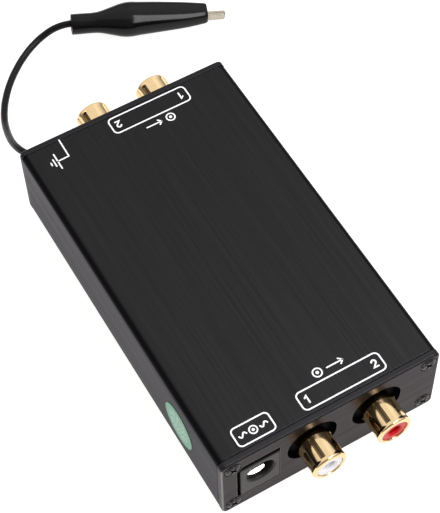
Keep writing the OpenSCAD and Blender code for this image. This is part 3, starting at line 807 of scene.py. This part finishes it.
def barrel_angles(turn):
    """Angles round a barrel in degrees, closer together at the edges of its grooves."""
    half = GROOVE_WIDTH / 2
    edges = [math.degrees(e / BARREL_RADIUS) for e in (half - 0.05, half, half + GROOVE_EDGE)]
    angles = set(range(0, 360, BARREL_STEP))
    for k in range(GROOVES):
        centre = turn + k * GROOVE_STEP
        angles = {a for a in angles if abs((a - centre + 180) % 360 - 180) > edges[-1] + 1}
        angles |= {round((centre + sign * e) % 360, 3) for e in (0, *edges) for sign in (-1, 1)}
    return sorted(angles)


def barrel(socket, turn, longer, material):
    """Turns the barrel of a socket, its mouth this much further out, and cuts its grooves."""
    low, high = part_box(f"{socket}_barrel")
    x, z = (low.x + high.x) / 2 / MM, (low.z + high.z) / 2 / MM
    outwards = -1 if low.y < 0 else 1
    face = PLATE_Y / MM
    back = (low.y if outwards > 0 else -high.y) / MM - face
    floor_edge = GROOVE_WIDTH / 2 - 0.03
    rings, on_floor = [], []
    for place, radius in [(back, BARREL_BORE), (back, BARREL_ROOT), *BARREL_SKIN]:
        y = outwards * (face + place + (longer if place > BARREL_STRETCH_FROM else 0))
        ring = []
        for angle in barrel_angles(turn):
            share = groove_share(place, angle, turn)
            reach = radius - share * GROOVE_DEPTH
            a = math.radians(angle)
            ring.append(Vector((x + reach * math.sin(a), y, z + reach * math.cos(a))) * MM)
            off_middle = math.radians(off_groove(angle, turn)) * radius
            on_floor.append(float(share == 1 and off_middle < floor_edge))
        rings.append(ring)
    shape = ring_skin(rings, closed=True)
    # The groove floors are marked for the gold's painted shade
    layer = shape.verts.layers.float.new(GROOVE_ATTRIBUTE)
    for vertex, value in zip(shape.verts, on_floor):
        vertex[layer] = value
    piece = mesh_piece(f"{socket}_barrel_turned", shape, material, sharp_from=35)
    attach(piece, "unit")
    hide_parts(f"{socket}_barrel")


class PREAMP_OT_phono_sockets(Operator):
    """Finishes the four phono sockets, red for the right channel and white for the left"""

    bl_idname = "preamp.phono_sockets"
    bl_label = "Phono sockets"

    def execute(self, context):
        sockets = context.scene.preamp_sockets
        gold = make_material(polished_gold_plate, sockets.gold_tint)
        nylon = make_material(
            moulded_plastic, sockets.nylon_tint, 0.65, 0.3, 0.02, gloss=0.05,
            name="moulded_glass_filled_nylon",
        )
        white = make_material(
            moulded_plastic, sockets.white_tint, 0.32, 0.5, 0.004, glow=0.35,
            name="moulded_white_polypropylene",
        )
        red = make_material(
            moulded_plastic, sockets.red_tint, 0.3, 0.5, 0.004, gloss=0.25,
            name="moulded_red_polypropylene",
        )
        # The left and right ends of the nodes' names are as seen from the output end
        cores = {"output_left": white, "output_right": red, "input_left": red, "input_right": white}
        for socket, core in cores.items():
            end = socket.split("_")[0]
            barrel(socket, BARREL_TURN[end], BARREL_LONGER[end], gold)
            dress(gold, f"{socket}_contact")
            dress(nylon, f"{socket}_housing")
            dress(core, f"{socket}_insert")
        return {"FINISHED"}


class PREAMP_OT_power_socket(Operator):
    """Finishes the power socket, its pin and its contact"""

    bl_idname = "preamp.power_socket"
    bl_label = "Power socket"

    def execute(self, context):
        # Painted shade: the body's top 1.1 mm turns near black and loses its gloss, for the plate's shadow on
        # it
        step_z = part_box("power_socket_body")[1].z - 1.1 * MM
        tint = context.scene.preamp_sockets.power_tint
        body = make_material(recessed_plastic, tint, step_z, linear("#070606"), name="moulded_black_pbt")
        dress(body, "power_socket_body")
        dress(bpy.data.materials["nickel_plated_steel"], "power_socket_pin")
        dress(make_material(bright_tin, linear("#f3f1ea")), "power_socket_contact")
        return {"FINISHED"}


# ---------- board ----------


def slab_about_middle(node, back, front):
    """A slab across Y that reaches this far to each side of the middle of a row of parts."""
    low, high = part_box(node)
    middle = (low.y + high.y) / 2
    return "Y", middle - back, middle + front


class PREAMP_OT_board(Operator):
    """Finishes the circuit board and the parts on it"""

    bl_idname = "preamp.board"
    bl_label = "Circuit board"

    def execute(self, context):
        dress(make_material(solder_masked_board, linear("#1d5a37")), "circuit_board")
        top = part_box("circuit_board")[1].z
        can_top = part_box("filter_capacitors")[1].z
        skin = 0.05 * MM
        above_all = 1.0
        # Node, its finish, the body's colour, the slab that the body fills and its roughness
        parts = (
            ("filter_capacitors", "sleeved_aluminium_can", "#1d2a5a", ("Z", top + skin, can_top - skin), 0.3),
            ("coupling_capacitors", "dipped_epoxy_film", "#a5382b", ("Z", top + skin, above_all), 0.28),
            ("resistors", "banded_lacquer", "#5b9cc4",
             slab_about_middle("resistors", 2.1 * MM, 2.1 * MM), 0.35),
            ("rectifier_diodes", "moulded_epoxy_diode", "#1c1c1e",
             slab_about_middle("rectifier_diodes", 2.2 * MM, 1.4 * MM), 0.4),
            ("voltage_regulators", "moulded_epoxy_case", "#202022", ("Z", top + 3 * MM, above_all), 0.45),
            ("amplifier_chips", "moulded_epoxy_chip", "#242426", ("Z", top + 4.2 * MM, above_all), 0.45),
            ("chip_sockets", "moulded_black_polyester", "#1a1a1c", ("Z", top + 0.3 * MM, above_all), 0.5),
        )
        for node, finish, tint, slab, rough in parts:
            dress(make_material(part_with_metal, linear(tint), slab, rough, name=finish), node)
        return {"FINISHED"}


# ---------- printed signs ----------

SIGN_SINK = 0.01 * MM           # how far the ink reaches into the lid
CORNER_STEPS = 8

# Frames on the lid, by left, near, right and far edge in millimetres
SOCKET_FRAMES = {"output": (-5.63, -48.9, 17.05, -43.9), "input": (-5.7, 44.2, 16.8, 49.3)}
POWER_FRAME = (-23.35, -49.25, -13.45, -44.2)


def arc(x, y, radius, start, end, steps):
    """Points of an arc, its angles in degrees."""
    angles = [math.radians(start + (end - start) * i / steps) for i in range(steps + 1)]
    return [(x + radius * math.cos(a), y + radius * math.sin(a)) for a in angles]


def rounded_frame(x0, y0, x1, y1, radius):
    """Outline of a rectangle with round corners."""
    corners = [
        (x1 - radius, y1 - radius, 0), (x0 + radius, y1 - radius, 90),
        (x0 + radius, y0 + radius, 180), (x1 - radius, y0 + radius, 270),
    ]
    return [p for x, y, a in corners for p in arc(x, y, radius, a, a + 90, CORNER_STEPS)]


def moved(points, x, y, size=1.0):
    """Points scaled and moved; a size below 0 turns them round by half a turn."""
    return [(x + size * px, y + size * py) for px, py in points]


# Marks about their middle; the numbers and the ring are 2 high
ONE = [(-0.5, 0.55), (0.1, 1.0), (0.1, -1.0)]
TWO = arc(0, 0.42, 0.58, 165, -35, 10) + [(-0.62, -1.0), (0.65, -1.0)]
WAVE = [(x / 10, 0.5 * math.sin(math.pi * x / 10)) for x in range(-10, 11)]
ARROW = [(-2.2, 0), (2.2, 0)]
ARROW_HEAD = [(1.3, 0.8), (2.2, 0), (1.3, -0.8)]
RING = arc(0, 0, 1.0, 0, 337.5, 15)


def side_points(points, half_width, closed):
    """Left and right edge of a stroke along points."""
    left, right = [], []
    count = len(points)
    for i, point in enumerate(points):
        before = Vector(points[i - 1] if closed or i else point)
        after = Vector(points[(i + 1) % count] if closed or i < count - 1 else point)
        here = Vector(point)
        way_in = (here - before).normalized() if (here - before).length else (after - here).normalized()
        way_out = (after - here).normalized() if (after - here).length else way_in
        middle = (way_in + way_out).normalized()
        normal = Vector((-middle.y, middle.x))
        reach = half_width / max(0.5, middle.dot(way_in))
        left.append(here + reach * normal)
        right.append(here - reach * normal)
    return left, right


def add_stroke(shape, points, width, closed=False):
    """Adds a flat stroke to a bmesh, along points in millimetres on the lid, with round ends."""
    left, right = side_points(points, width / 2, closed)

    def place(point):
        return shape.verts.new((point[0] * MM, point[1] * MM, LID_Z - SIGN_SINK))

    lefts, rights = [place(p) for p in left], [place(p) for p in right]
    count = len(points)
    for i in range(count if closed else count - 1):
        j = (i + 1) % count
        shape.faces.new((lefts[i], rights[i], rights[j], lefts[j]))
    if not closed:
        for i, first, last in ((0, lefts[0], rights[0]), (-1, rights[-1], lefts[-1])):
            edge = Vector(left[i] if i == 0 else right[i]) - Vector(points[i])
            angle = math.degrees(math.atan2(edge.y, edge.x))
            cap = arc(*points[i], width / 2, angle, angle + 180, 6)[1:-1]
            shape.faces.new((first, *[place(p) for p in cap], last))


def printed(name, strokes, context):
    """Prints strokes of (points, width, closed) on the lid as one piece."""
    signs = context.scene.preamp_signs
    shape = bmesh.new()
    for points, width, closed in strokes:
        add_stroke(shape, points, width, closed)
    raised = bmesh.ops.extrude_face_region(shape, geom=shape.faces[:])["geom"]
    top = [item for item in raised if isinstance(item, bmesh.types.BMVert)]
    bmesh.ops.translate(shape, verts=top, vec=(0, 0, SIGN_SINK + signs.ink_thickness))
    ink = bpy.data.materials.get("screen_print_ink") or make_material(screen_print_ink, signs.ink_tint)
    sign = mesh_piece(name, shape, ink)
    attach(sign, "unit")


class PREAMP_OT_socket_signs(Operator):
    """Prints the frames beside the phono sockets, with channel numbers and a flow arrow"""

    bl_idname = "preamp.socket_signs"
    bl_label = "Socket signs"

    def execute(self, context):
        line = context.scene.preamp_signs.line_width / MM
        number_in, number_size, number_line = 2.1, 0.95, 0.42
        ring_before, arrow_after, arrow_line = 3.6, 1.2, 0.36
        heading_out = 2.3
        # The input end's sign is turned round, and its arrow points into the ring
        for end, way in (("output", 1), ("input", -1)):
            x0, y0, x1, y1 = SOCKET_FRAMES[end]
            middle_x, middle_y = (x0 + x1) / 2, (y0 + y1) / 2
            heading_y = (y1 if way > 0 else y0) + way * heading_out
            ring_x, arrow_x = middle_x - way * ring_before, middle_x + way * arrow_after
            first, second = (ONE, TWO)[::way]
            strokes = [
                (rounded_frame(x0, y0, x1, y1, 1.2), line, True),
                (moved(first, x0 + number_in, middle_y, way * number_size), number_line, False),
                (moved(second, x1 - number_in, middle_y, way * number_size), number_line, False),
                (moved(RING, ring_x, heading_y, 1.15), arrow_line, True),
                (moved(RING, ring_x, heading_y, 0.22), 0.4, True),
                (moved(ARROW, arrow_x, heading_y), arrow_line, False),
                (moved(ARROW_HEAD, arrow_x, heading_y), arrow_line, False),
            ]
            printed(f"{end}_sign", strokes, context)
        return {"FINISHED"}


class PREAMP_OT_power_sign(Operator):
    """Prints the frame beside the power socket: alternating current on a round plug"""

    bl_idname = "preamp.power_sign"
    bl_label = "Power sign"

    def execute(self, context):
        line = context.scene.preamp_signs.line_width / MM
        x0, y0, x1, y1 = POWER_FRAME
        x, y = (x0 + x1) / 2, (y0 + y1) / 2
        strokes = [
            (rounded_frame(x0, y0, x1, y1, 1.1), line, True),
            *((moved(WAVE, x + aside, y), 0.38, False) for aside in (-2.8, 2.8)),
            (moved(RING, x, y, 1.0), 0.34, True),
            (moved(RING, x, y, 0.2), 0.36, True),
        ]
        printed("power_sign", strokes, context)
        return {"FINISHED"}


class PREAMP_OT_earth_sign(Operator):
    """Prints the earth sign beside the ground lead"""

    bl_idname = "preamp.earth_sign"
    bl_label = "Earth sign"

    def execute(self, context):
        lead = [(-19.3, 50.1), (-19.4, 44.3), (-22.6, 44.2)]
        # Bars of the sign: place across and the two ends of each
        bars = [(-22.6, 41.7, 46.7), (-23.5, 43.0, 45.3), (-24.4, 43.75, 44.55)]
        strokes = [(points, 0.37, False) for points in (lead, *([(x, y0), (x, y1)] for x, y0, y1 in bars))]
        printed("earth_sign", strokes, context)
        return {"FINISHED"}


# ---------- stage ----------

VIEW_MIDDLE = Vector((2.64, 5.49, 12)) * MM     # what the camera looks at
DARK_WAY = (-0.455, -0.542, 0.707)              # the way from the case in which the room is unlit

# Softboxes: name, power in watts, place and sides in metres, colour, and the way the second side runs
SOFTBOXES = (
    ("fill_softbox", 1, (1.1, 0.5, 0.7), (1.4, 1.4), (0.98, 0.99, 1.0), (0, 0, 1)),
    # A strip over the right: it draws the long lights along the clip's boot and on the barrels
    ("strip_softbox", 12, (0.37, -0.4, 0.99), (0.34, 1.2), (1.0, 1.0, 1.0), (0.394, 0.834, 0.388)),
)


class PREAMP_OT_camera(Operator):
    """Sets the camera over the output end"""

    bl_idname = "preamp.camera"
    bl_label = "Camera"

    def execute(self, context):
        stage = context.scene.preamp_stage
        back = Vector((
            math.sin(stage.azimuth) * math.cos(stage.elevation),
            -math.cos(stage.azimuth) * math.cos(stage.elevation),
            math.sin(stage.elevation),
        ))
        data = bpy.data.cameras.new("camera")
        data.lens = stage.lens
        data.sensor_width = 36
        data.clip_start, data.clip_end = 0.02, 20
        camera = bpy.data.objects.new("camera", data)
        context.scene.collection.objects.link(camera)
        camera.location = VIEW_MIDDLE + back * stage.distance
        camera.rotation_mode = "QUATERNION"
        camera.rotation_quaternion = Quaternion(back, -stage.roll) @ (-back).to_track_quat("-Z", "Y")
        context.scene.camera = camera
        return {"FINISHED"}


def softbox(name, power, place, sides, colour, along):
    """An area light that looks at the middle of the case, its second side as near this way as can be."""
    data = bpy.data.lights.new(name, "AREA")
    data.shape = "RECTANGLE"
    data.size, data.size_y = sides
    data.energy = power
    data.color = colour
    light = bpy.data.objects.new(name, data)
    bpy.context.scene.collection.objects.link(light)
    light.location = place
    light.rotation_mode = "QUATERNION"
    back = (Vector(place) - Vector((0, 0, 0.01))).normalized()
    side = Vector(along).cross(back).normalized()
    light.rotation_quaternion = Matrix((side, back.cross(side), back)).transposed().to_quaternion()


def studio_world():
    """White overhead, a ninth as bright at the horizon, and 0.3 times that where the room is unlit."""
    world = bpy.data.worlds.new("studio")
    world.use_nodes = True
    node = partial(add_node, world.node_tree)
    way = node("ShaderNodeTexCoord", {}, "Generated")
    height = node("ShaderNodeSeparateXYZ", {"Vector": way}, "Z")
    towards_dark = node("ShaderNodeVectorMath", (way, DARK_WAY), operation="DOT_PRODUCT")
    overhead = node("ShaderNodeMapRange", (height, 0.05, 0.65, 0.12, 1.05))
    lit = node("ShaderNodeMapRange", (towards_dark, 0.7, 0.88, 1.0, 0.3))
    strength = node("ShaderNodeMath", (overhead, lit), operation="MULTIPLY")
    background = world.node_tree.nodes["Background"]
    background.inputs["Color"].default_value = linear("#ffffff")
    world.node_tree.links.new(strength, background.inputs["Strength"])
    return world


class PREAMP_OT_stage(Operator):
    """Lays the pale floor and sets soft studio light"""

    bl_idname = "preamp.stage"
    bl_label = "Stage"

    def execute(self, context):
        scene = context.scene
        stage = scene.preamp_stage
        scene.view_settings.view_transform = "Standard"
        shape = bmesh.new()
        bmesh.ops.create_grid(shape, x_segments=1, y_segments=1, size=4.0)
        acrylic = make_material(lit_matt_acrylic, stage.floor_tint)
        floor = mesh_piece("floor", shape, acrylic)
        scene.world = studio_world()
        for name, power, *rest in SOFTBOXES:
            softbox(name, power * stage.light, *rest)
        return {"FINISHED"}


# ---------- panel and registration ----------

PIECES = (
    PREAMP_OT_camera,
    PREAMP_OT_ground_wire,
    PREAMP_OT_clip_boot,
    PREAMP_OT_clip_spring,
    PREAMP_OT_clip_metal,
    PREAMP_OT_case,
    PREAMP_OT_fixings,
    PREAMP_OT_sticker,
    PREAMP_OT_phono_sockets,
    PREAMP_OT_power_socket,
    PREAMP_OT_board,
    PREAMP_OT_socket_signs,
    PREAMP_OT_power_sign,
    PREAMP_OT_earth_sign,
    PREAMP_OT_stage,
)


class PREAMP_PT_pieces(Panel):
    """Lists the pieces in the order that they are made, and their settings"""

    bl_idname = "PREAMP_PT_pieces"
    bl_label = "Phono preamp"
    bl_space_type = "VIEW_3D"
    bl_region_type = "UI"
    bl_category = "Preamp"

    def draw(self, context):
        for piece in PIECES:
            self.layout.operator(piece.bl_idname)
        for name, group in SETTINGS.items():
            box = self.layout.box()
            for field in group.__annotations__:
                box.prop(getattr(context.scene, name), field)


def register():
    """Registers the settings, the operators and the panel."""
    for name, group in SETTINGS.items():
        bpy.utils.register_class(group)
        setattr(bpy.types.Scene, name, PointerProperty(type=group))
    for item in (*PIECES, PREAMP_PT_pieces):
        bpy.utils.register_class(item)


def unregister():
    """Takes all of it out again."""
    for item in (PREAMP_PT_pieces, *reversed(PIECES)):
        bpy.utils.unregister_class(item)
    for name, group in SETTINGS.items():
        delattr(bpy.types.Scene, name)
        bpy.utils.unregister_class(group)


def main():
    """Makes every piece in order."""
    register()
    for piece in PIECES:
        module, name = piece.bl_idname.split(".")
        getattr(getattr(bpy.ops, module), name)()


if __name__ == "__main__":
    main()
